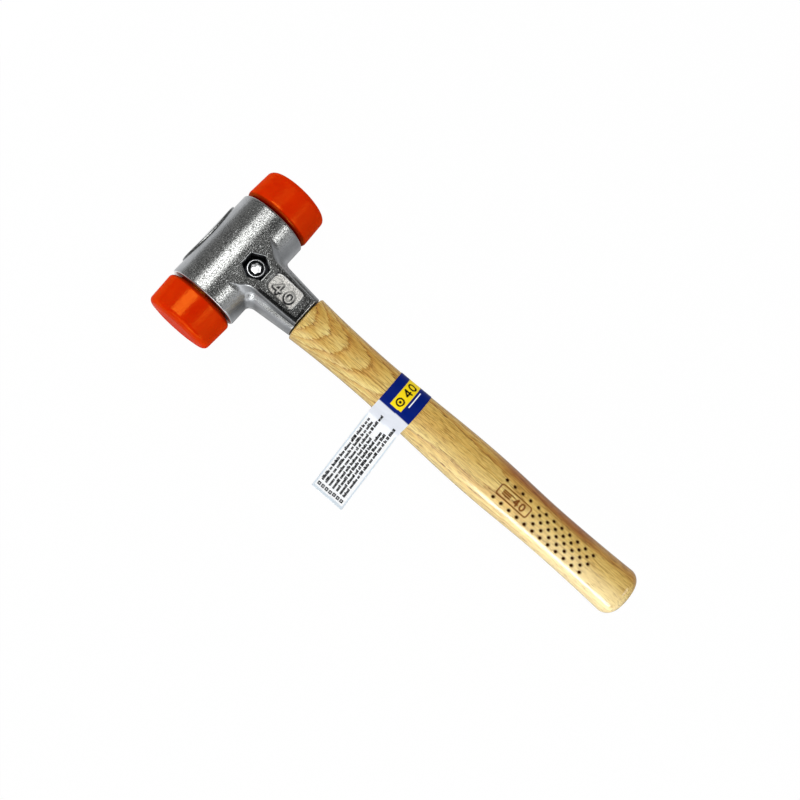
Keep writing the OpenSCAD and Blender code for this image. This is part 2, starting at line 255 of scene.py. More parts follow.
def zincSteel():
    # turned steel, bright zinc plated: clear metal with a faint mottle, painted shade on the flat of the
    # screw head and a painted highlight on the floor of its socket
    mat, shader, add, coord, bare, paintedShade = newMaterial("steel_turned_zinc", {"Metallic": 1}, "bare recess")
    mottle = 0.4 * mm
    fine = add("TexNoise", {"Vector": coord, "Scale": 1 / mottle, "Detail": 3})
    tone = add("ValToRGB", [fine], stops=[(0.35, "#c4c6c8"), (0.65, "#dcdddd")])
    for share, tint in ((bare, "#f6f6f6"), (paintedShade, "#08090a")):
        tone = add("Mix", {0: share, 6: tone, 7: tint}, 2, data_type="RGBA")
    rough = add("MapRange", [fine, 0, 1, 0.2, 0.36])
    setInputs(shader, {"Base Color": tone, "Roughness": rough})
    return mat


def mouldedPlastic():
    # cellulose plastic, moulded and barrel polished: deep orange red, satin gloss, slightly uneven skin
    mat, shader, add, coord, shade = newMaterial("cellulose_moulded_orange", {
        "IOR": 1.48, "Specular IOR Level": 0.0008, "Specular Tint": (1200, 430, 36, 1),  # warm, hardly white
        "Subsurface Weight": 0.4, "Subsurface Radius": (1, 0.3, 0.06), "Subsurface Scale": 5 * mm}, "shade")
    cloudSize, skinSize, relief = 9 * mm, 0.9 * mm, 0.1 * mm
    cloud = add("TexNoise", {"Vector": coord, "Scale": 1 / cloudSize, "Detail": 4})
    skin = add("TexNoise", {"Vector": coord, "Scale": 1 / skinSize, "Detail": 4})
    tone = add("ValToRGB", [cloud], stops=[(0.3, "#d61f00"), (0.7, "#e02800")])
    toned = add("Mix", {0: shade, 6: tone, 7: "#a88c80"}, 2, data_type="RGBA", blend_type="MULTIPLY")
    rough = add("MapRange", [skin, 0, 1, 0.15, 0.26])
    bump = add("Bump", {"Height": skin, "Strength": 0.35, "Distance": relief})
    setInputs(shader, {"Base Color": toned, "Roughness": rough, "Normal": bump})
    return mat


def lacqueredHickory():
    # hickory, turned and clear lacquered: growth rings round a pith that runs under the handle at a slant,
    # so that they come out as long lines at the sides and as nested arcs on the front; feathered by the
    # fibres, with rows of short dark pores in the early wood and a brown heartwood streak along one edge.
    # One side has painted light, paler, and the other painted shade, deeper in colour.
    mat, shader, add, coord, rings, sap, heart, vein, burn = newMaterial(
        "hickory_turned_lacquer", {"Coat Roughness": 0.16, "Coat IOR": 1.5}, "rings sap heart vein burn")
    calmFrom, calmTo, poreDeep = 165 * mm, 215 * mm, 0.06 * mm
    fibre = {}  # noise drawn out along the handle: length and thickness in mm, detail, roughness
    for name, long, thick, detail, uneven in (
            ("feather", 9, 0.8, 3, 0.6), ("drift", 40, 13, 2, 0.5), ("streak", 30, 0.7, 4, 0.65),
            ("hair", 7, 0.38, 2, 0.5), ("cloud", 60, 9, 2, 0.5), ("dash", 5, 0.48, 1, 0.5)):
        across = 1 / mm / thick
        place = add("Mapping", {"Vector": coord, "Scale": (1 / mm / long, across, across)})
        fibre[name] = add("TexNoise", {"Vector": place, "Scale": 1, "Detail": detail, "Roughness": uneven})
    feather = add("Math", [fibre["feather"], 0.75, rings], operation="MULTIPLY_ADD")
    count = add("Math", [fibre["drift"], 0.9, feather], operation="MULTIPLY_ADD")
    phase = add("Math", [count], operation="FRACT")
    wood = add("ValToRGB", [phase], stops=[
        (0, "#ba8d40"), (0.06, "#cfa550"), (0.14, "#f6e192"), (0.45, "#f2d986"), (0.8, "#ebca73"),
        (1, "#e2b865")])
    wood.node.color_ramp.interpolation = "EASE"
    along = add("SeparateXYZ", [coord], "X")
    calm = add("MapRange", [along, calmFrom, calmTo, 0, 0.55])  # quieter figure in the grip
    streak, hair, cloud, early, dash = [add("ValToRGB", [value], stops=stops) for value, stops in (
        (fibre["streak"], [(0.33, "#b0946a"), (0.47, "#ffffff"), (0.7, "#ffffff")]),
        (fibre["hair"], [(0.36, "#ccb07f"), (0.52, "#ffffff")]),
        (fibre["cloud"], [(0.35, "#f6ead6"), (0.6, "#ffffff")]),
        (phase, [(0, 1), (0.1, 1), (0.2, 0.42), (0.9, 0.42), (1, 0.75)]),
        (fibre["dash"], [(0.6, 0), (0.68, 1)]))]
    pores = add("Math", [early, dash], operation="MULTIPLY")
    # the pale mix on one side is painted light, the deeper multiply on the other painted shade
    for mode, share, tint in (
            ("MIX", calm, "#f1d485"), ("MULTIPLY", 0.75, streak), ("MULTIPLY", 0.8, hair),
            ("MULTIPLY", 1, cloud), ("MIX", sap, "#fdedb8"), ("MULTIPLY", heart, "#f0cf4a"),
            ("MULTIPLY", vein, "#bb8244"), ("MULTIPLY", pores, "#84591f"), ("MIX", burn, "#341503")):
        wood = add("Mix", {0: share, 6: wood, 7: tint}, 2, data_type="RGBA", blend_type=mode)
    gloss, level, rough = [add("MapRange", [value, 0, 1, low, high]) for value, low, high in (
        (burn, 0.9, 0), (burn, 0.15, 0), (phase, 0.42, 0.55))]
    bump = add("Bump", {"Height": pores, "Strength": 0.25, "Distance": -poreDeep})
    setInputs(shader, {"Base Color": wood, "Coat Weight": gloss, "Specular IOR Level": level,
                       "Roughness": rough, "Normal": bump})
    return mat


def printedFilm():
    # polypropylene label film, printed and varnished: the colours are painted on the points of the film,
    # and it glows a little in them as painted light
    mat, shader, add, coord = newMaterial("label_film_printed", {
        "IOR": 1.49, "Specular IOR Level": 0.08, "Emission Strength": 0.12})
    dustSize, waveSize, relief = 1.5 * mm, 7 * mm, 0.3 * mm
    ink = add("Attribute", out="Color", attribute_name="ink")
    dust = add("TexNoise", {"Vector": coord, "Scale": 1 / dustSize, "Detail": 4})
    rough = add("MapRange", [dust, 0, 1, 0.22, 0.4])
    wave = add("TexNoise", {"Vector": coord, "Scale": 1 / waveSize, "Detail": 2})
    bump = add("Bump", {"Height": wave, "Strength": 0.2, "Distance": relief})
    setInputs(shader, {"Base Color": ink, "Emission Color": ink, "Roughness": rough, "Normal": bump})
    return mat


castMetal = castZinc()
boltMetal = zincSteel()
facePlastic = mouldedPlastic()
hickory = lacqueredHickory()
labelFilm = printedFilm()
print("materials made")

# The cast head is split at the parting plane. Spans are (from, over) in mm, for rising, falling and hill.
casting = dict(
    barrelR=20.3, barrelHalf=28, rimR=1, badge=(20, 9.5, 21.3), badgeFrom=-5, badgeEdge=0.3,
    neckStart=8, neckEnd=46.5, neckEndHalf=12.4, neckRootHalf=14.8, neckDeep=10,
    neckFillet=4, neckEdge=3, neckCrown=0.7, crownEdge=2, neckMouthEdge=0.5,
    spineEndHalf=8, spineRootHalf=9.3, spineFlareHalf=15.2, flareX=8, flareEnd=21,
    spineEndZ=13.4, spineRise=0.1535, spineStart=3.48, spineDraft=0.08,
    filletLeast=0.05, spineFillet=4.2, filletUp=(5, 9), filletDown=(20, 14), filletLoss=0.72,
    spineEdge=1.2, edgeLeast=0.02, edgeFrom=0.3, edgeRun=2, endEdge=0.4, endRun=2, mouthEdge=0.3,
    boreR=15.06, boreFloor=9.5, boreEdge=0.4, socket=6.6, socketStart=2,
    screwX=12.2, screwHoleR=3.3, pocketFlat=6.4, pocketFloor=9.2, pocketEdge=0.6,
    nutFlat=5.1, nutSeat=8.5, nutEdge=0.3, seam=0.3, seamEdge=0.35,
    panel=(22, 39.7, 0.7, 5.4, 3.8, 1.6), panelDeep=0.7, panelEdge=0.25,
    beadHigh=0.22, beadLeast=0.25, beadUp=(24, 8), bead=(0.55, 0.5),
    digitHigh=0.55, digitSoft=0.5, digits=(31.4, -0.3, 5.3, 0.5, 4.2, 3.4),
    cell=0.36, frontBox=((-22, -28.7, -0.1), (47.2, 28.7, 22)),
    rearBox=((-22, -28.7, -22), (47.2, 28.7, 0.1)),
    litRun=2, litSoft=1.2, litReach=0.35, floorReach=0.1, floorSoft=0.4, floorTop=-0.03,
    panelLow=-1.2, dullWall=(0.05, 0.2), dullTop=(-0.5, 0.3), dullBore=(17.3, 1), boreShare=0.5,
    footLeast=0.35, footUp=(28, 12), footBase=(1.2, 0.9), footWall=(0.9, 0.6), footFrom=(19, 6),
    footTop=(-0.25, 0.4), bandIn=(-2.6, 0.6), bandOut=(-0.1, 0.3), bandLine=(-1.9, 0.6),
    bandLineShare=0.7, bandShare=0.9, bandLow=-1, bandFrom=(17, 6), bandStop=0.3,
    rimLine=(0.3, 0.26), badgeFront=-8, rimDrop=0.4, onBadge=(-0.1, 0.4), badgeLift=(0.6, 0.3),
    badgeShare=0.8, turned=(27.55, 0.3),
    figureLine=0.3, figureSpan=(0.66, 0.3), figureIn=-0.3, leanStep=0.05, leanSpan=(0.6, 0.8),
    darkWall=(-0.2, 0.32), darkShare=0.95, litWall=(0.9, 0.32), litShare=0.9,
)


def strokeField(px, py, points, half):  # distance to a line through points, less half its width
    best = np.full(np.shape(px), np.inf)
    for (ax, ay), (bx, by) in zip(points[:-1], points[1:]):
        dx, dy = bx - ax, by - ay
        t = np.clip(((px - ax) * dx + (py - ay) * dy) / (dx * dx + dy * dy), 0, 1)
        best = np.minimum(best, np.hypot(px - ax - t * dx, py - ay - t * dy))
    return best - half


def fortyField(px, py, atX, atY, high, half, wide, apart):
    # the figures 4 and 0 round a point, read along px: middle lines high x wide, the two apart, strokes
    # 2 x half wide
    px, py = px - atX, py - atY
    left, right, top = -apart / 2 - wide, -apart / 2, high / 2
    stem, bar = right - 0.26 * wide, -0.2 * high
    four = strokeField(px, py, [(stem, -top), (stem, top), (left, bar), (right, bar)], half)
    ringX, ringY = (px - apart / 2 - wide / 2) / (wide / 2), py / top
    far = np.hypot(ringX, ringY) + 1e-9
    slope = np.hypot(ringX / (wide / 2), ringY / top) / far + 1e-9
    zero = np.abs((far - 1) / slope) - half
    return np.minimum(four, zero)


def hexField(x, y, flat):  # hexagon round the screw axis with two flats across X
    cos30 = 0.8660254
    u, v = x - casting["screwX"], y * cos30
    return np.abs([u, u / 2 + v, u / 2 - v]).max(0) - flat


def panelField(x, y):  # outline of the size panel: a rectangle with large corners towards the screw
    x0, x1, midY, half, bigR, smallR = casting["panel"]
    u = x - (x0 + x1) / 2
    return roundBox(u, y - midY, (x1 - x0) / 2, half, np.where(u < 0, bigR, smallR))


def badgeOval(y, z):  # distance to the oval outline of the badge on the back of the barrel
    badgeY, badgeZ = casting["badge"][:2]
    share = np.hypot(y / badgeY, z / badgeZ)
    return share * (share - 1) / (np.hypot(y / badgeY ** 2, z / badgeZ ** 2) + 1e-9)


def castingForms(x, y, z):
    # barrel with rounded rims, oval badge and tapered neck of rounded section, joined; the walls of the
    # flared spine; and the plane on top of the spine, which touches the barrel
    c = Named(**casting)
    ay = np.abs(y)
    r = np.hypot(x, z)
    barrel = roundBox(r, y, c.barrelR, c.barrelHalf, c.rimR)
    badge = roundBoth(np.maximum(badgeOval(y, z), x - c.badgeFrom), r - c.badge[2], c.badgeEdge)
    taper = (c.neckRootHalf - c.neckEndHalf) * (c.neckEnd - x) / (c.neckEnd - c.barrelR)
    half = c.neckEndHalf + taper
    tube = roundBoth(ay - half, np.abs(z) - c.neckDeep, c.neckEdge)
    tube = roundBoth(tube, np.hypot(y, z) - half - c.neckCrown, c.crownEdge)
    tube = np.maximum(roundBoth(tube, x - c.neckEnd, c.neckMouthEdge), c.neckStart - x)
    base = roundJoin(roundJoin(barrel, badge, c.badgeEdge), tube, c.neckFillet)
    back = c.flareEnd - x
    run = c.flareEnd - c.flareX
    flare = c.spineFlareHalf - c.spineRootHalf
    taper = (c.spineRootHalf - c.spineEndHalf) / (c.neckEnd - c.flareEnd)
    width = c.spineRootHalf + np.where(back > 0, flare * (back / run) ** 2, taper * back)
    lean = np.where(back > 0, 2 * flare * back / run ** 2, taper)
    top = (z - c.spineEndZ - c.spineRise * (c.neckEnd - x)) / np.hypot(1, c.spineRise)
    side = (ay - width + c.spineDraft * np.minimum(top, 0)) / np.hypot(1, lean)
    wall = np.maximum(np.maximum(side, c.spineStart - x), x - c.neckEnd)
    return base, wall, top


def castingField(x, y, z, isFront):
    # the forms joined with fillets; panel, bores, tenon socket, screw hole and pocket taken out
    c = Named(**casting)
    z = z if isFront else -z
    ay = np.abs(y)
    base, wall, top = castingForms(x, y, z)
    fillet = c.spineFillet * rising(x, c.filletUp) * (1 - c.filletLoss * rising(x, c.filletDown))
    bead = 0
    if isFront:
        panel = panelField(x, y)
        bead = c.beadLeast + (1 - c.beadLeast) * rising(x, c.beadUp)
        bead = c.beadHigh * bead * hill(panel, c.bead)
    edge = c.edgeLeast + c.spineEdge * np.clip((base - c.edgeFrom) / c.edgeRun, 0, 1)
    edge = np.where(x > c.neckEnd - c.endRun, c.endEdge, edge)
    body = roundBoth(roundJoin(wall, base, c.filletLeast + fillet), top - bead, edge)
    body = roundBoth(body, x - c.neckEnd, c.mouthEdge)
    body = roundBoth(body, -np.maximum(np.hypot(x, z) - c.boreR, c.boreFloor - ay), c.boreEdge)
    block = np.maximum(np.maximum(ay, np.abs(z)) - c.socket, c.socketStart - x)
    body = np.maximum(body, -block)
    body = np.maximum(body, c.screwHoleR - np.hypot(x - c.screwX, y))
    if isFront:
        pocket = np.maximum(hexField(x, y, c.pocketFlat), c.pocketFloor - z)
        digits = fortyField(x, y, *c.digits)
        floor = top + c.panelDeep - c.digitHigh * ease(0.5 - digits / c.digitSoft)
        body = roundBoth(body, -np.maximum(panel, -floor), c.panelEdge)
    else:
        pocket = np.maximum(hexField(x, y, c.nutFlat), c.nutSeat - z)
    body = roundBoth(body, -pocket, c.pocketEdge if isFront else c.nutEdge)
    return roundBoth(body, c.seam - z, c.seamEdge)


def litSide(x, y):  # 1 along the end and the side of the size panel that catch the light
    c = Named(**casting)
    end, middle, half = c.panel[1:4]
    return np.maximum(ease((x - end + c.litRun) / c.litSoft),
                      ease((y - middle - half + c.litRun) / c.litSoft))


def panelFloor(x, y, z):  # 1 on the sunk floor of the size panel and on its figures, and as a painted highlight on the walls that catch the light
    c = Named(**casting)
    top = z - c.spineEndZ - c.spineRise * (c.neckEnd - x)
    lit = c.litReach * litSide(x, y)
    floor = ease((c.floorReach + lit - panelField(x, y)) / c.floorSoft)
    return floor * (top > c.panelLow) * (top < lit + c.floorTop)


def paintedCastingShade(x, y, z, isFront):
    # how much painted shade a point gets: in pockets and bores, along the spine's foot and edge, round badge
    # and figures
    c = Named(**casting)
    z = z if isFront else -z
    r = np.hypot(x, z)
    base, wall, top = castingForms(x, y, z)
    pocket = hexField(x, y, c.pocketFlat if isFront else c.nutFlat)
    pocket = falling(pocket, c.dullWall) * falling(top, c.dullTop)
    inner = c.boreShare * falling(r, c.dullBore) * (x < c.barrelR)
    foot = c.footLeast + (1 - c.footLeast) * rising(x, c.footUp)
    foot = foot * falling(base, c.footBase) * falling(wall, c.footWall)
    foot = foot * rising(x, c.footFrom) * falling(top, c.footTop)
    inset = np.where(y < 0, rising(wall, c.bandIn) * falling(wall, c.bandOut),
                     c.bandLineShare * hill(wall, c.bandLine))
    band = c.bandShare * inset * (top > c.bandLow) * rising(x, c.bandFrom)
    band = band * (x < c.neckEnd - c.bandStop)
    rim = hill(badgeOval(y, z), c.rimLine) * (x < c.badgeFront) * (r < c.badge[2] - c.rimDrop)
    paintedShade = np.max([pocket, inner, foot, band, rim], 0)
    if not isFront:
        return paintedShade
    figure = fortyField(x, y, *c.digits)
    panel = panelField(x, y)
    line = falling(np.abs(figure - c.figureLine), c.figureSpan) * (panel < c.figureIn)
    lean = (fortyField(x, y + c.leanStep, *c.digits) - figure) / c.leanStep
    line = line * (0.5 + 0.5 * falling(lean, c.leanSpan))  # stronger on the side away from the light
    lit = litSide(x, y)
    edge = c.darkShare * (1 - lit) * hill(panel, c.darkWall) + c.litShare * lit * hill(panel, c.litWall)
    return np.maximum(paintedShade, np.maximum(line, edge) * (top > c.panelLow))


for name, isFront, node, body in (("front_casting", True, "front_housing", "front"),
                                  ("rear_casting", False, "rear_housing", "base")):
    low, high = casting["frontBox" if isFront else "rearBox"]
    points, quads = skinOf(lambda x, y, z: castingField(x, y, z, isFront), low, high, casting["cell"])
    piece = meshPiece(name, points, quads, castMetal, body, [node])
    # painted shade in pockets and bores, along the spine's foot and edges, round the badge and along the
    # figures and panel edges
    paint(piece, "recess", paintedCastingShade(*points.T, isFront))
    # pale matt floor of the size panel, with a painted highlight on its walls that catch the light
    paint(piece, "matt", panelFloor(*points.T) * isFront)
    x, y, z = points.T
    # painted reflection: the badge face is drawn pale like the machined barrel ends
    onBadge = falling(badgeOval(y, z), casting["onBadge"]) * (x < casting["badgeFront"])
    onBadge = onBadge * rising(np.hypot(x, z) - casting["barrelR"], casting["badgeLift"])
    paint(piece, "turned", np.maximum(rising(np.abs(y), casting["turned"]), casting["badgeShare"] * onBadge))

face = dict(
    root=29, tip=48.4, rootR=20, tipR=19.4, rimR=3, shoulderR=2.6, landR=13,
    crownFall=0.5, crownStart=0.1, spigotR=15, spigotEnd=10, spigotEdge=1, rootEdge=0.4,
    poleR=0.4, sides=192, dimTo=(2.3, 1.3), dimFrom=(-1.5, 1),
)


def faceProfile():
    # spigot, shoulder, drafted side, rim, crown and flat as (distance along the head, radius)
    c = Named(**face)
    rimY = c.tip - c.crownFall - c.rimR
    crownR = c.tipR - c.rimR
    edge, corner, shoulder = c.spigotEdge, c.rootEdge, c.shoulderR
    rise = np.linspace(0, 1, 10)[1:]
    lift = ease(rise * (1 - c.crownStart) + c.crownStart)
    crown = np.stack([c.tip - c.crownFall * (1 - lift), crownR + (c.landR - crownR) * rise], -1)
    side = np.stack([np.linspace(c.root + shoulder, rimY, 24), np.linspace(c.rootR, c.tipR, 24)], -1)
    land = np.stack([np.full(8, c.tip), np.linspace(c.landR, c.poleR, 9)[1:]], -1)
    return np.concatenate([
        [[c.spigotEnd, c.poleR], [c.spigotEnd, c.spigotR - edge]],
        arcPoints((c.spigotEnd + edge, c.spigotR - edge), edge, 180, 90, 6),
        [[c.root - corner, c.spigotR]],
        arcPoints((c.root - corner, c.spigotR + corner), corner, 270, 360, 5),
        arcPoints((c.root + shoulder, c.rootR - shoulder), shoulder, 180, 90, 14),
        side[1:-1],
        arcPoints((rimY, crownR), c.rimR, 90, 6, 16),
        crown, land])


for name, sign, node, body in (("right_soft_face", 1, "right_face", "right"),
                               ("left_soft_face", -1, "left_face", "left")):
    profile = faceProfile()
    a = np.linspace(0, 2 * np.pi, face["sides"], endpoint=False)
    along, radius = profile[:, 0, None], profile[:, 1, None]
    rings = np.stack([radius * np.cos(a), sign * along + 0 * a, radius * np.sin(a)], -1)
    piece = ringsPiece(name, rings, facePlastic, body, [node], outward=sign < 0)
    past = along - face["root"] + 0 * a
    paintRings(piece, "shade", falling(past, face["dimTo"]) * rising(past, face["dimFrom"]))  # dim groove

screw = dict(
    x=12.2, shankR=3, rootR=2.5, pitch=1, end=-14.2, endR=1.9, poleR=0.3,
    threadFrom=0.8, threadTo=2, crest=1.3, neckZ=2.2, under=10.8, neckFillet=0.3, underEdge=0.2,
    headR=5, headTop=14.5, edge=0.6, flatIn=0.15, lobeR=2.8, lobeDip=0.42, lobeSharp=0.8,
    mouth=((0.8, 0), (0.25, 0), (0.08, 0.08), (0, 0.25)), floor=11.9, cone=-0.2,
    floorShares=(1, 0.97, 0.7, 0.4, 0.12), sides=120,
    flatDepth=0.05, flatStart=0.02, flatSoft=0.1, bareShare=0.98, bareLow=5, bareLift=0.01,
)


def screwRings():
    # turned about the screw axis: threaded shank, head and rim; inside the rim the radius waves six times
    c = Named(**screw)
    a = np.linspace(0, 2 * np.pi, c.sides, endpoint=False)
    flat = np.ones_like(a)
    lobe = c.lobeR - c.lobeDip * (0.5 - 0.5 * np.cos(6 * a)) ** c.lobeSharp
    z = np.arange(c.end + c.threadFrom, c.threadTo, c.pitch / 8)[:, None]
    turn = (z / c.pitch - a / (2 * np.pi)) % 1
    ridge = np.clip(c.crest * (1 - np.abs(2 * turn - 1)), 0, 1)
    thread = c.rootR + (c.shankR - c.rootR) * ridge
    neck = [(c.shankR, c.neckZ), (c.shankR, c.under - c.neckFillet),
            (c.shankR + c.neckFillet, c.under), (c.headR - c.underEdge, c.under),
            (c.headR, c.under + c.underEdge)]
    rim = arcPoints((c.headR - c.edge, c.headTop - c.edge), c.edge, 0, 90, 8)
    rows = [(c.poleR * flat, c.end * flat), (c.endR * flat, c.end * flat)]
    rows += [(rr, zz + 0 * a) for rr, zz in zip(thread, z)]
    rows += [(rr * flat, zz * flat) for rr, zz in (*neck, *rim)]
    rows.append(((c.headR - c.edge - c.flatIn) * flat, c.headTop * flat))
    rows += [(lobe + lift, (c.headTop - drop) * flat) for lift, drop in c.mouth]
    rows += [(lobe * share, (c.floor - c.cone * (1 - share)) * flat) for share in c.floorShares]
    return np.stack([np.stack([c.x + rr * np.cos(a), rr * np.sin(a), zz], -1) for rr, zz in rows])


def makeScrew():  # painted shade on the flat of the head, a painted highlight on the floor of the socket
    c = Named(**screw)
    grid = screwRings()
    bolt = ringsPiece("clamp_bolt", grid, boltMetal, "screw", ["clamp_screw"])
    r, z = np.hypot(grid[..., 0] - c.x, grid[..., 1]), grid[..., 2]
    flatTop = (z > c.headTop - c.flatDepth) * falling(r, (c.headR - c.edge - c.flatStart, c.flatSoft))
    paintRings(bolt, "recess", flatTop)
    floor = (r < c.bareShare * c.lobeR) * (z > c.bareLow) * (z < c.floor + c.bareLift)
    paintRings(bolt, "bare", floor, (0, 1))


makeScrew()

washer = dict(
    x=12.2, bottom=9.2, thick=1.6, innerR=3.1, outerR=4.95, gapAngle=11, edge=0.25, steps=96,
)


def washerRings():
    # a rectangle with rounded corners carried round the screw axis from one side of the split to the other
    c = Named(**washer)
    a = np.radians(np.linspace(c.gapAngle / 2, 360 - c.gapAngle / 2, c.steps))[:, None]
    e = c.edge
    innerR, outerR, low, high = c.innerR + e, c.outerR - e, c.bottom + e, c.bottom + c.thick - e
    corners = ((outerR, high), (innerR, high), (innerR, low), (outerR, low))
    ring = np.concatenate([arcPoints(at, e, 90 * k, 90 * k + 90, 5) for k, at in enumerate(corners)])
    rr, zz = ring[None, :, 0], ring[None, :, 1]
    return np.stack([c.x + rr * np.cos(a), rr * np.sin(a), zz + 0 * a], -1)


ringsPiece("spring_ring", washerRings(), boltMetal, "front", ["spring_washer"], outward=False)

nut = dict(
    x=12.2, top=-8.5, high=5.2, flat=5, boreR=3.05, chamfer=0.5, chamferIn=0.1,
    chamferRun=0.9, sink=0.4, sinkDeep=0.5, thread=0.12, boreRows=34, sides=144,
)


def nutRings():
    # hexagon whose corners are cut by a chamfer cone, with a threaded bore: a closed ring of profiles
    c = Named(**nut)
    a = np.linspace(0, 2 * np.pi, c.sides, endpoint=False)
    hexR = c.flat / np.cos((a + np.pi / 6) % (np.pi / 3) - np.pi / 6)
    low, top = c.top - c.high, c.top
    shares = (0, 0.33, 0.66, 1)
    rows = [(c.boreR + c.sink + 0 * a, low + 0 * a)]
    for level, sign, order in ((low, 1, shares), (top, -1, shares[::-1])):
        rows += [(np.minimum(hexR, c.flat + c.chamferIn + c.chamferRun * share),
                  level + sign * c.chamfer * share + 0 * a) for share in order]
    rows.append((c.boreR + c.sink + 0 * a, top + 0 * a))
    bore = np.linspace(low + c.sinkDeep, top - c.sinkDeep, c.boreRows)
    rows += [(c.boreR + c.thread * (1 + np.cos(2 * np.pi * zz - a)), zz + 0 * a) for zz in bore[::-1]]
    return np.stack([np.stack([c.x + rr * np.cos(a), rr * np.sin(a), zz], -1) for rr, zz in rows])


nutGrid = nutRings()
nutQuads = gridQuads(len(nutGrid) + 1, nut["sides"], True) % (len(nutGrid) * nut["sides"])
meshPiece("clamp_hex_nut", nutGrid.reshape(-1, 3), nutQuads, boltMetal, "base", ["clamp_nut"])

handle = dict(
    shoulderX=47.1, shoulderW=27.4, waistX=93, waistW=24.2, swellX=174, swellW=28.2,
    gripX=221, gripW=26.2, endX=276, buttW=28.8, buttR=6, buttTurn=84, crown=0.8,
    deep=0.9, power=2.2, shoulderR=1.2, endShares=(0.1, 0.96), crownShare=0.97,
    stations=((49, 181, 1.1), (181.2, 249, 0.27)), lastStations=(249.5, 1.2),  # from, to, step
    angles=((42, 138, 84), (138, 402, 100)),  # the front with its dots, then the rest: from, to, steps
    pithDeep=39.6, pithFall=15.3, pithRun=60, pithSide=1.5, ring=2.4,
    dotR=0.85, dotDeep=0.9, dotPitch=5.58, dotSquash=0.86, dotFloor=0.4, dotLip=0.2, frontZ=4,
    dotRows=((4, 184.4, 12), (1.2, 209.8, 7), (-1.5, 207, 8), (-4.5, 209.8, 7), (-7.5, 184.2, 12)),
    burnFrame=(183.6, 204.4, -5.1, 1.1, 1.2, 0.28), figures=(197.6, -2, 3.6, 0.42, 2.4, 1.7),
    bars=(186.6, 191.4, 0.34), barRows=(-0.9, -2, -3.1), groove=(-0.1, 0.35), grooveDeep=0.12,
    scorch=(0.62, 0.45), haze=(0.8, 0.7), hazeShare=0.4, grooveBurn=0.45,
    heartShare=0.5, heart=(-0.1, 0.7), veinShares=(0.32, 0.53), veinEnd=(252, 20), veinSide=(0.37, 0.3),
    veinFrom=(165, 22), sapShares=(0.18, 0.3), sapFrom=((90, 60), (190, 50)), sapSide=(0.1, 0.5),
)


def handleHalf(x):
    # half width along the handle: parabola to the waist, ease to the swell and the grip, parabola to the butt
    c = Named(**handle)
    cosEase = lambda t: (1 - np.cos(np.pi * np.clip(t, 0, 1))) / 2
    front, swell, grip, butt = [
        w0 + (w1 - w0) * shape((x - x0) / (x1 - x0)) for x0, w0, x1, w1, shape in (
            (c.waistX, c.waistW, c.shoulderX, c.shoulderW, np.square),
            (c.waistX, c.waistW, c.swellX, c.swellW, cosEase),
            (c.swellX, c.swellW, c.gripX, c.gripW, cosEase),
            (c.gripX, c.gripW, c.endX, c.buttW, np.square))]
    return np.select([x < c.waistX, x < c.swellX, x < c.gripX], [front, swell, grip], butt) / 2


def ovalSection(h, a):  # superellipse of half width h, angle a from +Y towards +Z
    p = 2 / handle["power"]
    y = h * np.sign(np.cos(a)) * np.abs(np.cos(a)) ** p
    z = h * handle["deep"] * np.sign(np.sin(a)) * np.abs(np.sin(a)) ** p
    return y, z


def dotField(x, y):  # distance to the nearest dot's middle
    c = Named(**handle)
    best = np.full(np.shape(x), np.inf)
    for rowY, rowX, count in c.dotRows:
        k = np.clip(np.round((x - rowX) / c.dotPitch), 0, count - 1)
        best = np.minimum(best, np.hypot(c.dotSquash * (x - rowX - k * c.dotPitch), y - rowY))
    return best


def frameField(x, y):  # distance to the burned lines: a frame with plain bars and figures inside
    c = Named(**handle)
    x0, x1, y0, y1, r, half = c.burnFrame
    box = roundBox(x - (x0 + x1) / 2, y - (y0 + y1) / 2, (x1 - x0) / 2, (y1 - y0) / 2, r)
    figures = fortyField(x, y, *c.figures)
    best = np.minimum(np.abs(box) - half, figures)
    barFrom, barTo, barHalf = c.bars
    for barY in c.barRows:
        best = np.minimum(best, strokeField(x, y, [(barFrom, barY), (barTo, barY)], barHalf))
    return best


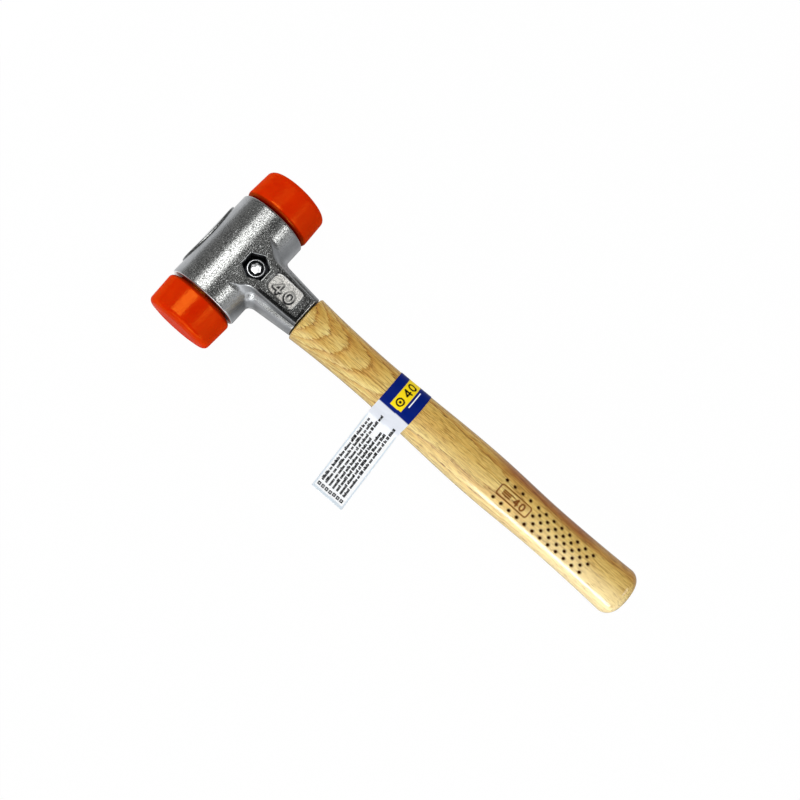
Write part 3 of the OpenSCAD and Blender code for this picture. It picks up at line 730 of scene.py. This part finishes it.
def makeHandle():
    # oval sections carried along the handle: flat and rounded shoulder, length, rounded butt and low crown
    c = Named(**handle)
    lengthEnd = c.endX - c.buttR
    turn = np.radians(np.linspace(0, c.buttTurn, 20))
    tail = np.linspace(0, 1, 12)[1:]
    lip = np.linspace(0, 1, 8) * np.pi / 2
    tailFrom, tailStep = c.lastStations
    stations = np.concatenate([np.arange(*span) for span in (*c.stations, (tailFrom, lengthEnd, tailStep))])
    ringX = np.concatenate([np.full(5, c.shoulderX), c.shoulderX + c.shoulderR * (1 - np.cos(lip)),
                            stations, lengthEnd + c.buttR * np.sin(turn),
                            c.endX + c.crown * (1 - (1 - tail) ** 2)])
    shoulder = handleHalf(np.array(c.shoulderX)) - c.shoulderR
    butt = handleHalf(np.array(lengthEnd)) - c.buttR * (1 - np.cos(turn))
    ringH = np.concatenate([np.linspace(*c.endShares, 5) * shoulder, shoulder + c.shoulderR * np.sin(lip),
                            handleHalf(stations), butt, butt[-1] * (1 - tail * c.crownShare)])
    a = np.concatenate([np.linspace(np.radians(start), np.radians(end), steps, endpoint=False)
                        for start, end, steps in c.angles])
    y, z = ovalSection(ringH[:, None], a[None])
    x = ringX[:, None] + 0 * y
    onFront = z > c.frontZ
    dot = np.where(onFront, dotField(x, y), np.inf)
    pit = 1 - rising(dot, (c.dotFloor, c.dotR - c.dotLip))
    groove = 1 - rising(np.where(onFront, frameField(x, y), np.inf), c.groove)
    z = z - c.dotDeep * pit - c.grooveDeep * groove
    piece = ringsPiece("hickory_handle", np.stack([x, y, z], -1), hickory, "base", ["handle"])
    haze = c.hazeShare - c.hazeShare * rising(dot, c.haze)
    scorch = np.maximum(1 - rising(dot, c.scorch), haze)
    paintRings(piece, "burn", np.maximum(scorch, c.grooveBurn * groove))
    share = y / handleHalf(x)  # painted light on one side, painted shade on the other, with a brown vein
    paintRings(piece, "heart", c.heartShare * rising(share, c.heart))
    vein = c.veinShares[0] + c.veinShares[1] * falling(x, c.veinEnd)
    vein = vein * rising(share, c.veinSide) * rising(x, c.veinFrom)
    paintRings(piece, "vein", np.maximum(vein, groove))
    sap = sum(part * rising(x, span) for part, span in zip(c.sapShares, c.sapFrom))
    paintRings(piece, "sap", sap * falling(share, c.sapSide))
    # growth rings: distance from a pith deep under the handle that comes nearer, first steeply, then slowly
    pith = c.pithDeep + c.pithFall * np.exp((c.shoulderX - x) / c.pithRun)
    paintRings(piece, "rings", np.hypot(y - c.pithSide, z + pith) / c.ring)


makeHandle()

tenon = dict(
    half=6.5, start=2.5, end=48, edge=0.5, holeX=12.2, holeR=3.3, holeEdge=0.2,
    cell=0.6, box=((1.5, -7.5, -7.5), (49, 7.5, 7.5)),
)


def tenonField(x, y, z):  # square bar with rounded edges and a cross hole for the screw
    c = Named(**tenon)
    bar = roundBoth(np.abs(y) - c.half, np.abs(z) - c.half, c.edge)
    bar = roundBoth(bar, np.abs(x - (c.start + c.end) / 2) - (c.end - c.start) / 2, c.edge)
    return roundBoth(bar, c.holeR - np.hypot(x - c.holeX, y), c.holeEdge)


points, quads = skinOf(tenonField, *tenon["box"], tenon["cell"])
meshPiece("handle_tenon", points, quads, hickory, "base", ["handle"])

# The label is one film round the handle, with its two ends stuck together as a flag.
label = dict(
    start=105, wide=20.6, reach=64.4, lean=3.3, leanFrom=13.5, thick=0.2, clear=0.05,
    glue=0.01, leave=20, meet=2.6, pull=3.2, waveAlong=(0.35, 0.11, 12), waveAcross=(0.25, 20, 3.1, 0.5),
    rows=96, frontSteps=104, backSteps=40, joinSteps=14, flagSteps=250, underSteps=50,
    navy="#001a70", yellow="#f8d91a", white="#f9fbfd", black="#050507",
    shadedTone="#d6dae2", marginTone="#d6e0e8", inkEdge=0.16,
    blueFrom=-8.2, frontZ=2, blueLong=44, yellowX=(110.8, 118.1), yellowS=(2.4, 30),
    shadedTo=(12.5, 2), margin=0.9, fieldEnd=59.3, marginFrom=(11, 3),
    ring=(6.4, 2, 0.45, 0.8), figures=(15, 0, 4.4, 0.5, 3, 1.8), bar=(119.7, 0.3, 12.5, 5.5),
    seed=7, lineX=107.9, linePitch=2.42, lineFrom=54.6,
    lineEnds=(13.5, 17.5, 10.5, 21, 18.5, 14.5, 13), group=(2, 8), groupGap=0.55,
    tall=(0.62, 0.62, 0.86), foot=0.5, strokeHalf=0.41, strokeStep=0.86,
    squareX=107.6, squarePitch=2.5, squareAt=57.4, squareHalf=0.95, holeHalf=0.3, squares=7,
)


def strokeLines(x, u):
    # lines of plain strokes in groups of uneven length, and a row of small open squares at the flag's end
    c = Named(**label)
    rng = np.random.default_rng(c.seed)
    best = np.full(np.shape(x), np.inf)
    for k, end in enumerate(c.lineEnds):
        across = x - c.lineX - c.linePitch * k - c.foot
        place = c.lineFrom
        while place > end:
            for stroke in range(rng.integers(*c.group)):
                tall = rng.choice(c.tall)
                bar = np.maximum(np.abs(across + tall) - tall, np.abs(u - place) - c.strokeHalf)
                best = np.minimum(best, bar)
                place -= c.strokeStep
            place -= c.groupGap
    for k in range(c.squares):
        off = np.maximum(np.abs(x - c.squareX - c.squarePitch * k), np.abs(u - c.squareAt))
        best = np.minimum(best, np.maximum(off - c.squareHalf, c.holeHalf - off))
    return best


def inkOf(x, s):
    # print by place: x along the handle, s along the film from the edge of the blue field (minus on the flag)
    c = Named(**label)
    soft = lambda d: np.clip(0.5 - d / c.inkEdge, 0, 1)  # 1 inside, 0 outside, with a narrow edge
    u = -s
    x0, x1 = c.yellowX
    s0, s1 = c.yellowS
    mid = (x0 + x1) / 2
    field = np.maximum(np.abs(x - c.start - c.wide / 2) - c.wide / 2 + c.margin, u - c.fieldEnd)
    ringS, ringR, ringHalf, dotR = c.ring
    off = np.hypot(x - mid, s - ringS)
    sign = np.minimum(np.abs(off - ringR) - ringHalf, off - dotR)  # ring with a dot, then the figures
    sign = np.minimum(sign, fortyField(s, mid - x, *c.figures))
    barX, barHalf, barS, barLong = c.bar
    ink = np.broadcast_to(np.array(linearOf(c.white)), (*np.shape(x), 4)).copy()
    for cover, tone in (
            (falling(u, c.shadedTo) * (u > -1), "shadedTone"),
            ((1 - soft(field)) * rising(u, c.marginFrom), "marginTone"),
            (soft(np.maximum(u, s - c.blueLong)), "navy"),
            (soft(np.max([x0 - x, x - x1, s0 - s, s - s1], 0)), "yellow"),
            (soft(sign), "black"),
            (soft(np.maximum(np.abs(x - barX) - barHalf, np.abs(s - barS) - barLong)), "white"),
            (soft(strokeLines(x, u)), "black")):
        ink = ink + (np.array(linearOf(label[tone])) - ink) * cover[..., None]
    return ink


def makeLabel():
    # path of the film across the handle: in along the flag, over the front, round the back and out again
    c = Named(**label)
    rows = np.linspace(0, 1, c.rows)
    x = c.start + c.wide * rows
    h = (handleHalf(x) + c.clear + c.thick / 2)[:, None]
    front = np.linspace(180 - c.leave, 0, c.frontSteps, endpoint=False)
    a = np.radians(np.concatenate([front, np.linspace(0, c.leave - 180, c.backSteps)]))[None]
    wrapY, wrapZ = ovalSection(h, a)
    half = c.thick / 2 + c.glue
    t = np.linspace(0, 1, c.joinSteps)[None, :-1]
    endY, endZ = wrapY[:, :1], wrapZ[:, :1]
    alongY, alongZ = endY - wrapY[:, 1:2], endZ - wrapZ[:, 1:2]
    long = np.hypot(alongY, alongZ)
    meetY = -h - c.meet
    pullY, pullZ = endY + alongY / long * c.pull, endZ + alongZ / long * c.pull
    bend = lambda p0, p1, p2: (1 - t) ** 2 * p0 + 2 * t * (1 - t) * p1 + t * t * p2
    joinY, joinZ = bend(meetY, pullY, endY), bend(half, np.maximum(pullZ, half), endZ)
    span = meetY + c.reach
    flagY = span * np.linspace(0, 1, c.flagSteps)[None, :-1] - c.reach
    underY = span * np.linspace(1, 0, c.underSteps)[None, 1:] - c.reach
    y = np.concatenate([flagY, joinY, wrapY, joinY[:, ::-1], underY], 1)
    z = np.concatenate([half + 0 * flagY, joinZ, wrapZ, -joinZ[:, ::-1], 0 * underY - half], 1)
    off = np.clip(-y - c.leanFrom, 0, None)
    high, turn, run = c.waveAlong
    z = z + high * np.sin(off * turn) * ease(off / run)
    high, run, turn, start = c.waveAcross
    z = z + high * ease(off / run) * np.sin(rows[:, None] * turn - start)
    grid = np.stack([x[:, None] + off * np.tan(np.radians(c.lean)), y, z], -1)
    step = np.hypot(np.diff(y, axis=1), np.diff(z, axis=1))
    s = np.concatenate([np.zeros((len(x), 1)), np.cumsum(step, 1)], 1)
    zero = np.abs(np.where(z > c.frontZ, y - c.blueFrom, np.inf)).argmin(1)
    s = s - np.take_along_axis(s, zero[:, None], 1)
    quads = gridQuads(len(x), y.shape[1], False)
    piece = meshPiece("label_wrap", grid.reshape(-1, 3), quads, labelFilm, "base", ["label"])
    wall = piece.modifiers.new("film", "SOLIDIFY")
    wall.thickness = c.thick * mm
    wall.offset = 0
    paint(piece, "ink", inkOf(x[:, None] + 0 * s, s).reshape(-1, 4))


makeLabel()

studio = dict(
    eye=(93.478, -101.839, 508.638), look=(0.03958107, 0.19750773, -0.97950193),
    up=(-0.65833528, 0.74258535, 0.12313272), lens=43.449, sensor=36,
    room=[(0, 0.34), (0.5, 0.32), (0.88, 0.26), (0.97, 0.14), (1, 0.13)],  # darker overhead
    lamps=(  # place, aim, direction of the second side, size, glow, spread in degrees, seen in the gloss
        ("top_softbox", (-286, 60, 853), (0, 0, 0), (0, 1, 0), (560, 440), 4.3),
        ("right_softbox", (679, 160, 590), (0, 0, 0), (0, 1, 0), (250, 260), 4.8),
        ("low_card", (900, 150, 215), (0, 0, 0), (0, 1, 0), (480, 400), 0.5),
        ("side_strip", (480, -816, 190), (230, 0, 0), (1, 0, 0), (360, 260), 4),
        ("grip_strip", (490, -800, 190), (335, 0, 0), (1, 0, 0), (360, 380), 0.36, 26),  # kept off the head
        ("back_fill", (-800, -150, 350), (0, 0, 0), (0, 1, 0), (900, 700), 0.9, 180, False),  # not on metal
        ("side_fill", (60, -800, 400), (60, 0, 0), (1, 0, 0), (700, 900), 1)),
)
paper = dict(
    z=-20.35, reach=4000, back=-175, glowShare=0.985, base=0.48,
    behind=(-20, 60, 1, 0.48), beside=(-90, -20, 1, 0), card=(120, 250, 0.4, 2.4),  # from, to, levels
    headHalf=47, headMid=5, headDeep=14, handleHalf=12, handleFrom=20, touchRun=9, touchLow=0.3,
)


def paperFloor():
    # matt white paper sweep: white to the camera, with a part that keeps the shadow; in reflections its glow
    # is painted light, brighter behind the head and beside the grip, with a painted shadow close to the
    # hammer
    c = Named(**paper)
    mat, shader, add, coord = newMaterial("paper_sweep_white", {
        "Base Color": "#f4f4f4", "Roughness": 0.9, "Specular IOR Level": 0})
    fromEye = add("LightPath", out="Is Camera Ray")
    through, mirrored = [fromEye.node.outputs[name] for name in ("Is Transmission Ray", "Is Glossy Ray")]
    placeX = add("SeparateXYZ", [coord], "X")
    placeY = placeX.node.outputs["Y"]
    behind, beside, card = [
        add("MapRange", [place, start * mm, end * mm, low, high])
        for place, (start, end, low, high) in ((placeX, c.behind), (placeY, c.beside), (placeX, c.card))]
    aside = add("Math", [beside, card, c.base], operation="MULTIPLY_ADD")
    near = add("Math", [behind, aside], operation="MAXIMUM")
    far = add("Math", [placeY], operation="ABSOLUTE")
    mid = add("Math", [placeX, c.headMid * mm], operation="SUBTRACT")
    mid = add("Math", [mid], operation="ABSOLUTE")
    headEnd, headSide, handleSide, ahead = [  # distances from the outlines of head and handle
        add("Math", [first, second], operation="SUBTRACT") for first, second in (
            (far, c.headHalf * mm), (mid, c.headDeep * mm),
            (far, c.handleHalf * mm), (c.handleFrom * mm, placeX))]
    offHead, offHandle = [add("Math", [first, second], operation="MAXIMUM")
                          for first, second in ((headEnd, headSide), (handleSide, ahead))]
    gap = add("Math", [offHead, offHandle], operation="MINIMUM")
    # painted contact shadow on the floor, seen only in reflections
    touch = add("MapRange", [gap, 0, c.touchRun * mm, c.touchLow, 1])
    near = add("Math", [near, touch], operation="MULTIPLY")
    level = add("Mix", {0: mirrored, 2: 1, 3: near}, data_type="FLOAT")
    straight = add("Math", [fromEye, through], operation="MAXIMUM")
    seen = add("Math", [straight, mirrored], operation="MAXIMUM")
    share = add("Math", [seen, c.glowShare], operation="MULTIPLY")
    glow = add("Emission", ["#ffffff", level])
    both = add("MixShader", [share, shader.outputs[0], glow])
    setInputs(next(n for n in mat.node_tree.nodes if n.type == "OUTPUT_MATERIAL"), {"Surface": both})
    return mat


floorMesh = bpy.data.meshes.new("studio_floor")
edge, rear = paper["reach"] * mm, paper["back"] * mm
corners = [(rear, -edge, 0), (edge, -edge, 0), (edge, edge, 0), (rear, edge, 0)]
floorMesh.from_pydata(corners, [], [(0, 1, 2, 3)])
floorMesh.materials.append(paperFloor())
floorObj = bpy.data.objects.new("studio_floor", floorMesh)
floorObj.location.z = paper["z"] * mm
scene.collection.objects.link(floorObj)


def addLamp(name, place, aim, along, size, glow, spread=180, inGloss=True):
    # rectangle lamp in mm, its second side along the direction given; glow is its brightness, 1 being white
    light = bpy.data.lights.new(name, "AREA")
    light.shape = "RECTANGLE"
    light.size, light.size_y = size[0] * mm, size[1] * mm
    light.energy = glow * np.pi * size[0] * size[1] * mm * mm
    light.spread = np.radians(spread)
    back = (Vector(place) - Vector(aim)).normalized()
    across = Vector(along).cross(back).normalized()
    lamp = bpy.data.objects.new(name, light)
    turn = Matrix((across, back.cross(across), back)).transposed().to_4x4()
    lamp.matrix_world = Matrix.Translation(Vector(place) * mm) @ turn
    lamp.visible_camera = False
    lamp.visible_glossy = inGloss
    scene.collection.objects.link(lamp)


for lampRow in studio["lamps"]:
    addLamp(*lampRow)

world = bpy.data.worlds.new("studio_world")
world.use_nodes = True
scene.world = world
addRoom = partial(addNode, world.node_tree)
# a grey room; straight to the camera it is white
rise = addRoom("SeparateXYZ", [addRoom("TexCoord", out="Generated")], "Z")
room = addRoom("ValToRGB", [rise], stops=studio["room"])
straight = addRoom("LightPath", out="Is Camera Ray")
shown = addRoom("Mix", {0: straight, 6: room, 7: "#ffffff"}, 2, data_type="RGBA")
backdrop = next(n for n in world.node_tree.nodes if n.type == "BACKGROUND")
setInputs(backdrop, {"Color": shown, "Strength": 1})

camData = bpy.data.cameras.new("view_camera")
camData.lens = studio["lens"]
camData.sensor_width = studio["sensor"]
camera = bpy.data.objects.new("view_camera", camData)
look, up = Vector(studio["look"]).normalized(), Vector(studio["up"]).normalized()
turn = Matrix((look.cross(up), up, -look)).transposed().to_4x4()
camera.matrix_world = Matrix.Translation(Vector(studio["eye"]) * mm) @ turn
scene.collection.objects.link(camera)
scene.camera = camera
scene.view_settings.view_transform = "Standard"
print("studio set")
